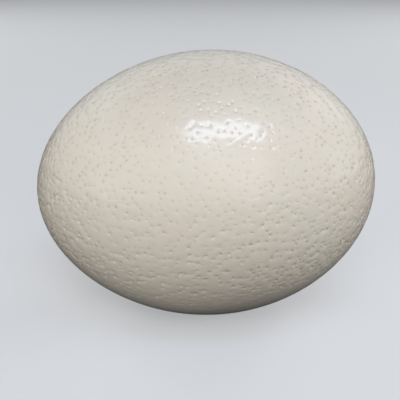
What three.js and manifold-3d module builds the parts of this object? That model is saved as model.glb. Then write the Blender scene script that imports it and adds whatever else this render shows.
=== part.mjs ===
// An ostrich egg, lying on its side on a small flat spot.
//
// Millimetres, +Z up. The long axis runs along X, with the blunt end towards +X and raised a
// little. The origin is on the surface that the egg rests on, below the middle of its outline.

import * as THREE from "three";
import { mergeVertices } from "three/addons/utils/BufferGeometryUtils.js";
import Module from "manifold-3d";

const wasm = await Module();
wasm.setup();

// Driving dimensions.
const LENGTH = 150; // from tip to tip
const WIDTH = 117.2; // across the middle
const BLUNTNESS = 0.0226; // share of the width that the blunt half gains and the other half loses
const SLIMNESS = 0.0425; // share of the width that both ends lose against a plain ellipse
const REST_TILT = 3.2; // degrees that the blunt end is raised by
const FLAT_DEPTH = 0.5; // height that the flat spot takes off the underside

// Fineness of the surface.
const RINGS = 36; // steps from tip to tip
const SIDES = 72; // steps around the long axis

// Half the egg's width at an angle from the blunt tip, 0, to the pointed tip, PI.
function halfWidth(angle) {
  const along = Math.cos(angle);
  const fullness = 1 + BLUNTNESS * along - SLIMNESS * along * along;
  return (WIDTH / 2) * Math.sin(angle) * fullness;
}

// The egg turned from its profile, whole and upright, with the blunt tip at +Y.
function turnedEgg() {
  const profile = [];
  for (let ring = 0; ring <= RINGS; ring += 1) {
    const angle = Math.PI * (1 - ring / RINGS);
    const onAxis = ring === 0 || ring === RINGS;
    const radius = onAxis ? 0 : halfWidth(angle);
    profile.push(new THREE.Vector2(radius, (LENGTH / 2) * Math.cos(angle)));
  }
  return new THREE.LatheGeometry(profile, SIDES);
}

// A closed geometry as a solid that can be cut.
function solidOf(geometry) {
  const bare = geometry.clone();
  bare.deleteAttribute("normal");
  bare.deleteAttribute("uv");
  const merged = mergeVertices(bare);
  const vertProperties = merged.getAttribute("position").array;
  const triVerts = new Uint32Array(merged.getIndex().array);
  return new wasm.Manifold(new wasm.Mesh({ numProp: 3, vertProperties, triVerts }));
}

// A solid as a geometry that can be drawn.
function geometryOf(solid) {
  const { vertProperties, triVerts } = solid.getMesh();
  const geometry = new THREE.BufferGeometry();
  geometry.setAttribute("position", new THREE.BufferAttribute(vertProperties, 3));
  geometry.setIndex(new THREE.BufferAttribute(triVerts, 1));
  return geometry;
}

// The egg laid down, with its flat spot cut and set on the ground at the origin.
function restingEgg() {
  const egg = turnedEgg();
  egg.rotateZ(-Math.PI / 2); // the blunt tip swings from +Y to +X
  egg.rotateY(THREE.MathUtils.degToRad(-REST_TILT)); // and up by the resting tilt
  egg.computeBoundingBox();
  const ground = egg.boundingBox.min.z + FLAT_DEPTH;

  const cutter = new THREE.BoxGeometry(LENGTH, WIDTH, WIDTH);
  cutter.translate(0, 0, ground - WIDTH / 2);

  const rested = geometryOf(solidOf(egg).subtract(solidOf(cutter)));
  rested.computeBoundingBox();
  const middle = rested.boundingBox.getCenter(new THREE.Vector3());
  rested.translate(-middle.x, -middle.y, -rested.boundingBox.min.z);
  rested.computeVertexNormals();
  return rested;
}

const eggshell = new THREE.MeshStandardMaterial({
  name: "eggshell",
  color: 0xd9d2bd,
  roughness: 0.38,
  metalness: 0,
});

const egg = new THREE.Mesh(restingEgg(), eggshell);
egg.name = "ostrich_egg";

const part = new THREE.Group();
part.name = "ostrich egg";
part.add(egg);

export default part;
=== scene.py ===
# %% [markdown]
# # An ostrich egg
#
# The shell of an ostrich egg is thick, cream-coloured and glazed like porcelain, and it is pitted
# all over with pores. Almost everything that tells it from a plain egg shape is in those pores,
# so this lesson spends most of its cells on them: where they sit, how each one is sunk into the
# shell, and how they look. The egg lies on its side on a small flat spot.

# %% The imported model
import math

import bpy
import numpy as np
from mathutils import Matrix, Vector, noise
from mathutils.kdtree import KDTree


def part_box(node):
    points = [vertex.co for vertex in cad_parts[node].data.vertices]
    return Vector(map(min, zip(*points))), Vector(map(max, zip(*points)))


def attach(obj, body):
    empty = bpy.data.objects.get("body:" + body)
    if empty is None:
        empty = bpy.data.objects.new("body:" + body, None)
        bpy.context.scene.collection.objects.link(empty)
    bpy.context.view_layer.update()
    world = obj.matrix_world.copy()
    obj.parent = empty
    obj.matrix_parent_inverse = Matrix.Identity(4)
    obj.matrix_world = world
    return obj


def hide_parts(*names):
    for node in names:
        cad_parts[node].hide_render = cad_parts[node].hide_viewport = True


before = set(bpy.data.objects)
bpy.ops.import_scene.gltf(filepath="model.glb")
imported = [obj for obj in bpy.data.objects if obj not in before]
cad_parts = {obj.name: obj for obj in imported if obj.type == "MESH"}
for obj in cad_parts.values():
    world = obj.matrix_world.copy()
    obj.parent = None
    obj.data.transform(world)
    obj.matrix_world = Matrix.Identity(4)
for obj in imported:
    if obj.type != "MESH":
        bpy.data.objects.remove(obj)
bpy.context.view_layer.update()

# %% [markdown]
# All sizes are in metres. The model's box says how big the egg is. Its shape needs four more
# numbers: how much fuller the blunt end is, how much slimmer both ends are than a plain ellipse,
# how far the blunt end is raised, and how much the flat spot takes off the underside.

# %% Driving sizes
MM = 0.001
BLUNTNESS = 0.0226
SLIMNESS = 0.0425
REST_TILT = math.radians(3.2)
FLAT_DEPTH = 0.5 * MM

egg_low, egg_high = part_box("ostrich_egg")
half_length = (egg_high.x - egg_low.x) / 2 / math.cos(REST_TILT)
half_width = (egg_high.y - egg_low.y) / 2
half_height = (egg_high.z - egg_low.z + FLAT_DEPTH) / 2
egg_centre = Vector((0, 0, half_height - FLAT_DEPTH))
print("half length", half_length, "half width", half_width, "centre", egg_centre)

# %% [markdown]
# The camera comes first, because it decides how much detail shows. It stands about as far away
# as a hand holds a phone, and looks down on the egg at 20 degrees. That near, the front of the
# egg swells towards the lens, so a flat view wouldn't give the same outline. The egg stands a
# little right of the middle of the view and a little above it, by two shares of the view's width.

# %% Camera
CAMERA_DISTANCE = 0.30
CAMERA_ELEVATION = math.radians(20)
LENS = 59.9
SENSOR = 36
SHARE_RIGHT = 0.0128
SHARE_UP = 0.0429

towards_camera = Vector((0, -math.cos(CAMERA_ELEVATION), math.sin(CAMERA_ELEVATION)))
view_right = Vector((1, 0, 0))
view_up = towards_camera.cross(view_right)
view_width = CAMERA_DISTANCE * SENSOR / LENS

aim = egg_centre.copy()
aim -= view_right * (SHARE_RIGHT * view_width)
aim -= view_up * (SHARE_UP * view_width)

bpy.ops.object.camera_add()
camera = bpy.context.object
camera.name = "camera"
camera.data.lens = LENS
camera.data.sensor_width = SENSOR
camera.data.clip_start = 0.01
camera.location = egg_centre + towards_camera * CAMERA_DISTANCE
camera.rotation_euler = (aim - camera.location).to_track_quat("-Z", "Y").to_euler()
bpy.context.scene.camera = camera
print("camera at", camera.location)

# %% [markdown]
# The egg stands on a plain pale floor with a pale wall far away all round it. The floor would
# light the egg's underside and mirror in its glaze. In a studio a dark card stops that, and in
# Cycles it is done by hiding the floor from the diffuse and the glossy rays. The underside then
# keeps its shade, while the egg still casts a shadow on the floor. The wall is hidden only from
# the diffuse rays: it still mirrors in the glaze, where it keeps the egg's edge from going dark.
# It stands just inside the floor's edge and reaches a little below it, so that no gap shows.

# %% Floor and wall
FLOOR_SIZE = 12
WALL_HEIGHT = 6
WALL_SIDES = 96
JUST_UNDER_HALF = 0.49

bpy.ops.mesh.primitive_plane_add(size=FLOOR_SIZE)
floor = bpy.context.object
floor.name = "floor"

bpy.ops.mesh.primitive_cylinder_add(
    vertices=WALL_SIDES,
    radius=JUST_UNDER_HALF * FLOOR_SIZE,
    depth=WALL_HEIGHT,
    end_fill_type="NOTHING",
    location=(0, 0, JUST_UNDER_HALF * WALL_HEIGHT),
)
wall = bpy.context.object
wall.name = "wall"
bpy.ops.object.shade_smooth()

floor.visible_glossy = False
for backdrop in (floor, wall):
    backdrop.visible_diffuse = False
print("the floor is", FLOOR_SIZE, "m wide and the wall", WALL_HEIGHT, "m high")

# %% [markdown]
# One key light, a long narrow box lamp, hangs above and in front of the egg. Its reflection is
# the long bright patch that shows how glossy the glaze is, and rolling the lamp a few degrees
# slopes the patch. A bigger and weaker panel round it gives the patch its soft halo, and a wide
# one behind the egg gives the glaze a pale rim.

# %% Lights that show in the glaze
WHITE = (1, 1, 1)
COOL = (0.66, 0.79, 1.0)
KEY_ROLL = math.radians(-8)


def area_light(name, turn, height_angle, distance, size, power, colour=WHITE):
    """A rectangular light that faces the egg, turned from the front and raised, in degrees."""
    turn, height_angle = math.radians(turn), math.radians(height_angle)
    flat = math.cos(height_angle)
    direction = Vector((math.sin(turn) * flat, -math.cos(turn) * flat, math.sin(height_angle)))
    place = egg_centre + direction * distance
    bpy.ops.object.light_add(type="AREA", location=place)
    light = bpy.context.object
    light.name = name
    light.rotation_euler = (-direction).to_track_quat("-Z", "Y").to_euler()
    light.data.shape = "RECTANGLE"
    light.data.size, light.data.size_y = size
    light.data.energy = power
    light.data.color = colour
    light.visible_camera = False
    print(name, "at", tuple(round(v, 3) for v in place))
    return light


key_light = area_light(
    "key_light", turn=14.6, height_angle=59.7, distance=0.55, size=(0.42, 0.13), power=0.60, colour=COOL
)
key_light.rotation_euler.rotate_axis("Z", KEY_ROLL)
area_light(
    "halo_light", turn=24, height_angle=64, distance=0.60, size=(0.80, 0.34), power=0.20, colour=COOL
)
area_light("rim_light", turn=180, height_angle=34, distance=1.5, size=(3.4, 1.1), power=2.6)

# %% [markdown]
# The other soft lights only fill in the shape. They stand further off than the key light, all
# round the egg, and are hidden from the glossy rays, because a second bright patch would spoil the
# first. The two at the sides hang lower and are less tall, so that they light the egg's ends more
# than its top. The world adds only a trace of light, so that no hollow is quite black.

# %% Lights that fill
WARM = (1.0, 0.97, 0.94)
FILL_DISTANCE = 1.5
TALL_PANEL = (0.7, 0.7)
LOW_PANEL = (0.7, 0.5)
WORLD_COLOUR = (0.90, 0.94, 1.0, 1)
WORLD_STRENGTH = 0.03


def fill_light(name, turn, height_angle, size, power, colour=WHITE):
    """A soft light that the glaze doesn't mirror."""
    light = area_light(name, turn, height_angle, FILL_DISTANCE, size, power, colour)
    light.visible_glossy = False


fill_light("front_light", turn=0, height_angle=40, size=TALL_PANEL, power=6.3, colour=WARM)
fill_light("front_right_light", turn=25, height_angle=22, size=TALL_PANEL, power=7.2, colour=WARM)
fill_light("left_light", turn=-60, height_angle=10, size=LOW_PANEL, power=9.4, colour=WARM)
fill_light("right_light", turn=90, height_angle=10, size=LOW_PANEL, power=8.8)
fill_light("left_back_light", turn=-135, height_angle=25, size=TALL_PANEL, power=4.8)
fill_light("right_back_light", turn=135, height_angle=25, size=TALL_PANEL, power=5.0)

world = bpy.data.worlds.new("studio")
world.use_nodes = True
world.node_tree.nodes["Background"].inputs["Color"].default_value = WORLD_COLOUR
world.node_tree.nodes["Background"].inputs["Strength"].default_value = WORLD_STRENGTH
bpy.context.scene.world = world
bpy.context.scene.view_settings.view_transform = "Standard"

# %% [markdown]
# An egg is a turned shape: at any place along its length the section is a circle. A UV sphere
# would crowd its faces at the two tips, so the shell starts as an icosphere, whose triangles are
# all about the same size.

# %% The shell as an icosphere
SEED = 11
rng = np.random.default_rng(SEED)


def read_points(mesh):
    """The mesh's points as an array with a row for each."""
    flat = np.empty(len(mesh.vertices) * 3, np.float32)
    mesh.vertices.foreach_get("co", flat)
    return flat.reshape(-1, 3).astype(float)


def write_points(mesh, points):
    """Moves the mesh's points to the rows of an array."""
    mesh.vertices.foreach_set("co", points.astype(np.float32).ravel())
    mesh.update()


def read_edges(mesh):
    """The numbers of the two points of each edge."""
    flat = np.empty(len(mesh.edges) * 2, np.int32)
    mesh.edges.foreach_get("vertices", flat)
    return flat.reshape(-1, 2)


bpy.ops.object.select_all(action="DESELECT")
bpy.ops.mesh.primitive_ico_sphere_add(subdivisions=6, radius=1)
shell = bpy.context.object
shell.name = "pitted_shell"
ball = read_points(shell.data)
print(len(ball), "points on the ball")

# %% [markdown]
# The pores will be cut at some of these points, and in an icosphere the points stand in rows. So
# every point first slides a little way along the ball, in a direction of its own. The slide is at
# most about a third of the way to the next point, so no triangle folds over.

# %% Nudging the points
NUDGE = 0.0125

sideways = rng.normal(size=ball.shape)
sideways -= (sideways * ball).sum(axis=1, keepdims=True) * ball
sideways /= np.linalg.norm(sideways, axis=1, keepdims=True)
ball += sideways * NUDGE * np.sqrt(rng.random((len(ball), 1)))
ball /= np.linalg.norm(ball, axis=1, keepdims=True)
print("points nudged by up to", NUDGE * half_width / MM, "mm")

# %% [markdown]
# An egg's outline is nearly an ellipse turned about its length. One small term makes the blunt end
# fuller and another slims both ends. The ball is stretched by that rule and laid down with its
# blunt end a little raised. Then it is held to the model's size and brought level with its top.

# %% The egg's outline
def egg_shape(ball):
    """Points of a ball of radius 1, moved to the surface of the egg, which lies along X."""
    along = ball[:, 0]
    fullness = 1 + BLUNTNESS * along - SLIMNESS * along**2
    return np.column_stack(
        [
            half_length * along,
            half_width * fullness * ball[:, 1],
            half_width * fullness * ball[:, 2],
        ]
    )


lay_down = Matrix.Translation(egg_centre) @ Matrix.Rotation(-REST_TILT, 4, "Y")
laid = np.array(lay_down)
points = egg_shape(ball) @ laid[:3, :3].T + laid[:3, 3]
model_size = np.array(egg_high - egg_low) + (0, 0, FLAT_DEPTH)
points *= np.minimum(model_size / np.ptp(points, axis=0), 1)
points[:, 2] -= points[:, 2].max() - egg_high.z
write_points(shell.data, points)
print("egg from", points.min(axis=0), "to", points.max(axis=0))

# %% [markdown]
# The pores are spread evenly, but not in rows: the shell forms with a random scatter of them, in
# which two are seldom close. So the points are taken in a random order, and each becomes a
# pore only if no pore is nearer than a gap that is itself drawn at random. Some pores then get a
# twin at the next point, because every shell has a few pairs and short strings.

# %% Choosing where the pores are
GAP_RANGE = (1.6 * MM, 2.7 * MM)
MOST_PORES = 4720
TWINS = 200

count = len(points)
tree = KDTree(count)
for number, point in enumerate(points):
    tree.insert(point, number)
tree.balance()

is_pore = np.zeros(count, bool)
gaps = rng.uniform(*GAP_RANGE, count)
for number in rng.permutation(count):
    near = tree.find_range(points[number], gaps[number])
    if is_pore.sum() < MOST_PORES and not any(is_pore[other] for _, other, _ in near):
        is_pore[number] = True
for number in rng.choice(np.flatnonzero(is_pore), TWINS, replace=False):
    is_pore[tree.find_n(points[number], 2)[1][1]] = True
print(is_pore.sum(), "pores")

# %% [markdown]
# Every pore gets a width of its own, most of them near the middle of the range. The mouths of
# twins mustn't cross, so a mouth also stays under half of the shortest edge that ends at its point.

# %% How wide each pore's dimple is
RADIUS_RANGE = (0.65 * MM, 1.25 * MM)
USUAL_RADIUS = 0.95 * MM
ROOM = 0.46

edges = read_edges(shell.data)
lengths = np.linalg.norm(points[edges[:, 0]] - points[edges[:, 1]], axis=1)
shortest = np.full(count, np.inf)
np.minimum.at(shortest, edges[:, 0], lengths)
np.minimum.at(shortest, edges[:, 1], lengths)

dimple_radius = rng.triangular(RADIUS_RANGE[0], USUAL_RADIUS, RADIUS_RANGE[1], count)
dimple_radius = np.where(is_pore, np.minimum(dimple_radius, ROOM * shortest), 0)
print("dimples are", 2 * dimple_radius[is_pore].mean() / MM, "mm wide on average")

# %% [markdown]
# A Bevel modifier that works on points turns each pore's point into a small face, nearly always
# with six sides. That is the mouth of the dimple, and the point's bevel weight says how wide it is.

# %% Opening the mouths
widest = dimple_radius.max()
weights = shell.data.attributes.new("bevel_weight_vert", "FLOAT", "POINT")
weights.data.foreach_set("value", (dimple_radius / widest).astype(np.float32))

bevel = shell.modifiers.new("mouths", "BEVEL")
bevel.affect = "VERTICES"
bevel.limit_method = "WEIGHT"
bevel.width = widest
bevel.segments = 1
bevel.use_clamp_overlap = False
bpy.ops.object.modifier_apply(modifier=bevel.name)
print(len(shell.data.vertices), "points with the mouths open")

# %% [markdown]
# The next steps work on the mouths alone, so they are picked out by their place: a mouth is a face
# whose corners all stand on the rim of one pore. By hand one would select them one by one.

# %% Finding the mouths
ON_THE_RIM = 0.01 * MM

pore_places = points[is_pore]
pore_radius = dimple_radius[is_pore]
pores = KDTree(len(pore_places))
for pore, place in enumerate(pore_places):
    pores.insert(place, pore)
pores.balance()


def is_mouth(mesh, face):
    """Whether all of a face's corners are on the rim of the pore in its middle."""
    place, pore, _ = pores.find(face.center)
    distances = [(mesh.vertices[corner].co - place).length for corner in face.vertices]
    return all(abs(distance - pore_radius[pore]) < ON_THE_RIM for distance in distances)


bpy.context.tool_settings.mesh_select_mode = (False, False, True)
for group in (shell.data.vertices, shell.data.edges, shell.data.polygons):
    group.foreach_set("select", np.zeros(len(group), bool))
found = [face.index for face in shell.data.polygons if is_mouth(shell.data, face)]
for index in found:
    shell.data.polygons[index].select = True
print(len(found), "mouths for", len(pore_places), "pores")

# %% [markdown]
# Inside each mouth, two insets make a middle ring and an inner ring. Each inset leaves its new
# inner faces selected for the next step, and is itself very thin, because the ring's corners are
# moved afterwards. A pore is seldom a true circle. Many are stretched into short slits, so each has
# a direction and a stretch of its own. A corner stands further in or out by them, but never turns
# about the pore's middle, so no two rings can cross.

# %% Rings inside the mouths
INSET = 0.01 * MM
RING_SHARES = (0.62, 0.34)
MOST_STRETCH = 1.38


def unit(rows):
    """Each row at length 1."""
    return rows / np.linalg.norm(rows, axis=-1, keepdims=True)


outward = unit(pore_places - np.array(egg_centre))
slit_along = unit(np.cross(outward, rng.normal(size=outward.shape)))
slit_across = np.cross(outward, slit_along)
stretch = rng.triangular(1, 1, MOST_STRETCH, len(outward))


def slit_reach(offsets, pore):
    """How far offsets reach from a pore's middle, less along its slit and more across it."""
    along = (offsets * slit_along[pore]).sum(axis=-1) / stretch[pore]
    across = (offsets * slit_across[pore]).sum(axis=-1) * stretch[pore]
    return np.hypot(along, across)


bpy.ops.object.mode_set(mode="EDIT")
for share in RING_SHARES:
    bpy.ops.mesh.inset(thickness=INSET, use_individual=True, use_even_offset=False)
    bpy.ops.object.mode_set(mode="OBJECT")
    placed = read_points(shell.data)
    inner_faces = [face for face in shell.data.polygons if face.select]
    for face in inner_faces:
        pore = pores.find(face.center)[1]
        ring = list(face.vertices)
        spoke = unit(placed[ring] - pore_places[pore])
        reach = share * pore_radius[pore] / slit_reach(spoke, pore)
        placed[ring] = pore_places[pore] + spoke * reach[:, None]
    write_points(shell.data, placed)
    bpy.ops.object.mode_set(mode="EDIT")
    print(len(inner_faces), "rings at", share)

# %% [markdown]
# A poke puts one point in the middle of each inner ring and joins it to the ring's corners. That
# point will be the pore's bottom.

# %% Bottoms of the pores
bpy.ops.mesh.poke()
bpy.ops.object.mode_set(mode="OBJECT")
print(len(shell.data.vertices), "points with the bottoms")

# %% [markdown]
# Now the pores can be sunk. A pore pulls on every point within its reach, not only on its own
# rings. So the first thing to know is which points each pore reaches, and how far away they are,
# counted less along its slit and more across it, as for the rings.

# %% Which points each pore pulls down
REACH = 2.8 * MM

placed = read_points(shell.data)
pairs = np.array(
    [
        (number, pore)
        for number, point in enumerate(placed)
        for _, pore, _ in pores.find_range(point, REACH)
    ]
)
pulled, puller = pairs[:, 0], pairs[:, 1]
slit_distance = slit_reach(placed[pulled] - pore_places[puller], puller)
print(len(pairs), "pulls of pores on points")

# %% [markdown]
# The glaze isn't equally thick all over the egg, and where it is thick it fills the pores. On this
# one it is smoothest in the middle of one side, and that side is turned to the front. It is
# roughest in a wide band round that middle, and a little smoother again at the back. Underneath,
# where the egg rubs on the table, it is worn nearly flat. One share for each point holds all that.
# It is read from how much the shell there faces the smooth side, and from how much it faces down.

# %% The smoother side
SMOOTH_SIDE = unit(np.array([0.0, -0.93, 0.37]))
TURNED_SHARES = (-0.4, 0.15, 0.5, 0.65, 0.8, 0.92, 1.0)
ROUGH_SHARES = (0.8, 0.9, 1.45, 1.2, 0.88, 0.78, 0.46)
UNDER_TILTS = (-0.75, -0.55, -0.32)
UNDER_SHARES = (0.12, 0.38, 1.0)

normals = np.empty(len(placed) * 3, np.float32)
shell.data.vertex_normals.foreach_get("vector", normals)
normals = normals.reshape(-1, 3)
rough_share = np.interp(normals @ SMOOTH_SIDE, TURNED_SHARES, ROUGH_SHARES)
rough_share *= np.interp(normals[:, 2], UNDER_TILTS, UNDER_SHARES)
print("roughness from", rough_share.min(), "to", rough_share.max())

# %% [markdown]
# How deep a point goes depends on its distance from a pore's middle, as a share of that pore's
# radius: hardly at all at the rim, steeply in the middle ring, and to the full depth at the
# bottom. Around each pore the shell also sags a little, in a wider and much shallower bowl, which
# gives it the look of leather in low light. Each pore has a strength of its own, drawn between a
# weakest and a strongest one, which scales its depth and the depth of its bowl.

# %% How deep each point is sunk
CORE_DEPTH = 0.44 * MM
BOWL_DEPTH = 0.14 * MM
BOWL_WIDTH = 1.05 * MM
STRENGTHS = (0.2, 0.6, 1.0)
PROFILE_SHARES = (0.0, 0.34, 0.62, 1.0, 1.3)
PROFILE_DEPTHS = (1.0, 0.88, 0.50, 0.12, 0.0)

strength = rng.triangular(*STRENGTHS, len(pore_places))
profile = np.interp(slit_distance / pore_radius[puller], PROFILE_SHARES, PROFILE_DEPTHS)
core = np.zeros(len(placed))
np.maximum.at(core, pulled, profile * strength[puller])
core *= rough_share
bowl = np.zeros(len(placed))
np.add.at(bowl, pulled, np.exp(-((slit_distance / BOWL_WIDTH) ** 2)) * strength[puller] ** 2)
print("deepest core", core.max(), "deepest bowl", bowl.max())

# %% [markdown]
# The glaze between the pores isn't flat either. It has fine ripples and wider waves, like the
# skin of an orange. A fractal noise gives both, because it adds up layers of noise, each half as
# wide as the one before and weaker.

# %% Ripples
RIPPLE_WIDTH = 4.5 * MM
RIPPLE_DEPTH = 0.07 * MM
FADING = 0.8
FINER = 2.0
LAYERS = 3

ripple = [noise.fractal(Vector(point) / RIPPLE_WIDTH, FADING, FINER, LAYERS) for point in placed]
ripple = np.clip(0.5 + 0.5 * np.array(ripple), 0, 1)
print("ripples from", ripple.min(), "to", ripple.max(), "spread", ripple.std())

# %% [markdown]
# The depths add up, and every point moves straight inwards by its sum. Whatever would still be
# below the table is cut flat there, which is the spot the egg rests on. Two of the numbers stay on
# the shell as attributes, because its finish needs them: how deep in a pore each point is, and how
# rough the glaze is there.

# %% Sinking the pores
depth = core * CORE_DEPTH + (bowl * BOWL_DEPTH + ripple * RIPPLE_DEPTH) * rough_share
sunk = placed - normals * depth[:, None]
sunk[:, 2] = np.maximum(sunk[:, 2], 0)
write_points(shell.data, sunk)

for name, values in (("pore_depth", core), ("roughness", rough_share)):
    stored = shell.data.attributes.new(name, "FLOAT", "POINT")
    stored.data.foreach_set("value", values.astype(np.float32))
bpy.ops.object.shade_smooth()
print("deepest point", depth.max() / MM, "mm")

# %% [markdown]
# Shader maths reads best as plain sums. This small class wraps a socket, and adding or
# multiplying two of them puts the Math node in for us. Every other node comes from one function.

# %% Shader maths
class Signal:
    """A shader socket that can be added and multiplied."""

    def __init__(self, tree, socket):
        self.tree = tree
        self.socket = socket

    def _maths(self, operation, first, second):
        return node(self.tree, "ShaderNodeMath", {"operation": operation}, {0: first, 1: second})

    def __add__(self, other):
        return self._maths("ADD", self, other)

    def __radd__(self, other):
        return self._maths("ADD", other, self)

    def __mul__(self, other):
        return self._maths("MULTIPLY", self, other)

    def __rmul__(self, other):
        return self._maths("MULTIPLY", other, self)


def node(tree, kind, settings=None, inputs=None, output=0):
    """Adds a node with its settings made first, and fills its sockets with values or links."""
    made = tree.nodes.new(kind)
    for name, value in (settings or {}).items():
        setattr(made, name, value)
    for name, value in (inputs or {}).items():
        socket = made.inputs[name]
        if isinstance(value, Signal):
            tree.links.new(value.socket, socket)
        else:
            socket.default_value = value
    return Signal(tree, made.outputs[output])


# %% [markdown]
# A finish is mostly clouds of noise, spread to run from 0 to 1, that blend one colour into another.
# These helpers name the three steps, so that the finish itself can be read in plain words.

# %% Clouds, spreads and blends
def cloud(place, scale, detail):
    """Noise whose patches are smaller at a higher scale and more frayed at a higher detail."""
    sockets = {"Vector": place, "Scale": scale, "Detail": detail}
    return node(place.tree, "ShaderNodeTexNoise", inputs=sockets)


def spread(signal, low, high):
    """The signal spread out, so that low becomes 0 and high becomes 1."""
    sockets = {"Value": signal, "From Min": low, "From Max": high}
    return node(signal.tree, "ShaderNodeMapRange", {"clamp": True}, sockets)


def blend(share, first, second):
    """The first colour where the share is 0 and the second where it is 1."""
    sockets = {0: share, 6: first, 7: second}
    return node(share.tree, "ShaderNodeMix", {"data_type": "RGBA"}, sockets, output=2)


def attribute(tree, name):
    """A number that the mesh holds for each of its points."""
    return node(tree, "ShaderNodeAttribute", {"attribute_name": name}, output="Fac")


# %% [markdown]
# The cream of the shell is never even: wide patches lean to pink or to green, and small faint
# ones are duller. The pores are painted darker and browner by their depth. That is partly painted
# shade, for the shade deep inside a pore, and partly a little dirt that they hold.

# %% The shell's colour
PINK_CREAM = (0.805, 0.740, 0.645, 1)
GREEN_CREAM = (0.786, 0.748, 0.645, 1)
DULL_CREAM = (0.72, 0.66, 0.55, 1)
PORE_SHADE_AND_DIRT = (0.36, 0.30, 0.22, 1)
DULL_SHARE = 0.10
PORE_SHADE_SHARE = 0.34


def shell_colour(place, pore):
    """Cream in patches, with the pores darkened by painted shade and a little dirt."""
    patches = spread(cloud(place, scale=38, detail=3), low=0.38, high=0.62)
    cream = blend(patches, PINK_CREAM, GREEN_CREAM)
    dull = spread(cloud(place, scale=120, detail=4), low=0.35, high=0.65)
    cream = blend(dull * DULL_SHARE, cream, DULL_CREAM)
    # Painted shade and dirt: the deeper a point is in a pore, the darker and browner it is painted.
    return blend(pore * PORE_SHADE_SHARE, cream, PORE_SHADE_AND_DIRT)


# %% [markdown]
# The gloss is that of worn porcelain: a clear coat over a duller body, which is dullest in the
# pores. The coat bends light more than a plain varnish does, so it mirrors the lamp strongly. The
# finest grain is too small to model and is a bump, which is as rough as the glaze is at each point.

# %% The shell's finish
EVEN_ROUGHNESS = 0.45
CLOUDED_ROUGHNESS = 0.10
PORE_ROUGHNESS = 0.3
BODY_IOR = 1.5
COAT_ROUGHNESS = 0.16
COAT_IOR = 1.8
GRAIN_DEPTH = 0.05 * MM
COARSE_GRAIN = 0.9
FINE_GRAIN = 0.5


def eggshell_finish():
    """The glazed cream shell."""
    material = bpy.data.materials.new("glazed_eggshell")
    material.use_nodes = True
    tree = material.node_tree
    surface = tree.nodes["Principled BSDF"]
    place = node(tree, "ShaderNodeTexCoord", output="Object")
    pore = spread(attribute(tree, "pore_depth"), low=0.03, high=0.65)

    colour = shell_colour(place, pore)
    tree.links.new(colour.socket, surface.inputs["Base Color"])

    clouded = spread(cloud(place, scale=260, detail=3), low=0.3, high=0.7)
    rough = clouded * CLOUDED_ROUGHNESS + EVEN_ROUGHNESS + pore * PORE_ROUGHNESS
    tree.links.new(rough.socket, surface.inputs["Roughness"])
    surface.inputs["IOR"].default_value = BODY_IOR
    surface.inputs["Coat Weight"].default_value = 1.0
    surface.inputs["Coat Roughness"].default_value = COAT_ROUGHNESS
    surface.inputs["Coat IOR"].default_value = COAT_IOR

    coarse = cloud(place, scale=380, detail=2) * COARSE_GRAIN
    fine = cloud(place, scale=850, detail=2) * FINE_GRAIN
    height = (coarse + fine) * attribute(tree, "roughness")
    sockets = {"Strength": 1.0, "Distance": GRAIN_DEPTH, "Height": height}
    bump = node(tree, "ShaderNodeBump", inputs=sockets)
    tree.links.new(bump.socket, surface.inputs["Normal"])
    return material


shell.data.materials.append(eggshell_finish())
print(shell.name, "is finished with", shell.data.materials[0].name)

# %% [markdown]
# The floor and the wall share one matt grey. It glows a little, so that the wall, which is far from
# every light, stays pale too.

# %% The backdrop's finish
PALE_GREY = (0.50, 0.51, 0.53, 1)
PALE_GLOW = (0.94, 0.97, 1.0, 1)
GLOW_STRENGTH = 0.3
MATT = 0.8


def backdrop_finish():
    """A matt pale grey that glows a little, so that it stays pale where no light reaches it."""
    material = bpy.data.materials.new("pale_backdrop")
    material.use_nodes = True
    surface = material.node_tree.nodes["Principled BSDF"]
    surface.inputs["Base Color"].default_value = PALE_GREY
    surface.inputs["Roughness"].default_value = MATT
    surface.inputs["Emission Color"].default_value = PALE_GLOW
    surface.inputs["Emission Strength"].default_value = GLOW_STRENGTH
    return material


backdrop_grey = backdrop_finish()
for backdrop in (floor, wall):
    backdrop.data.materials.append(backdrop_grey)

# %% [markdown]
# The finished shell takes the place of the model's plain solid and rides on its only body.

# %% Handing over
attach(shell, "root")
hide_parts("ostrich_egg")
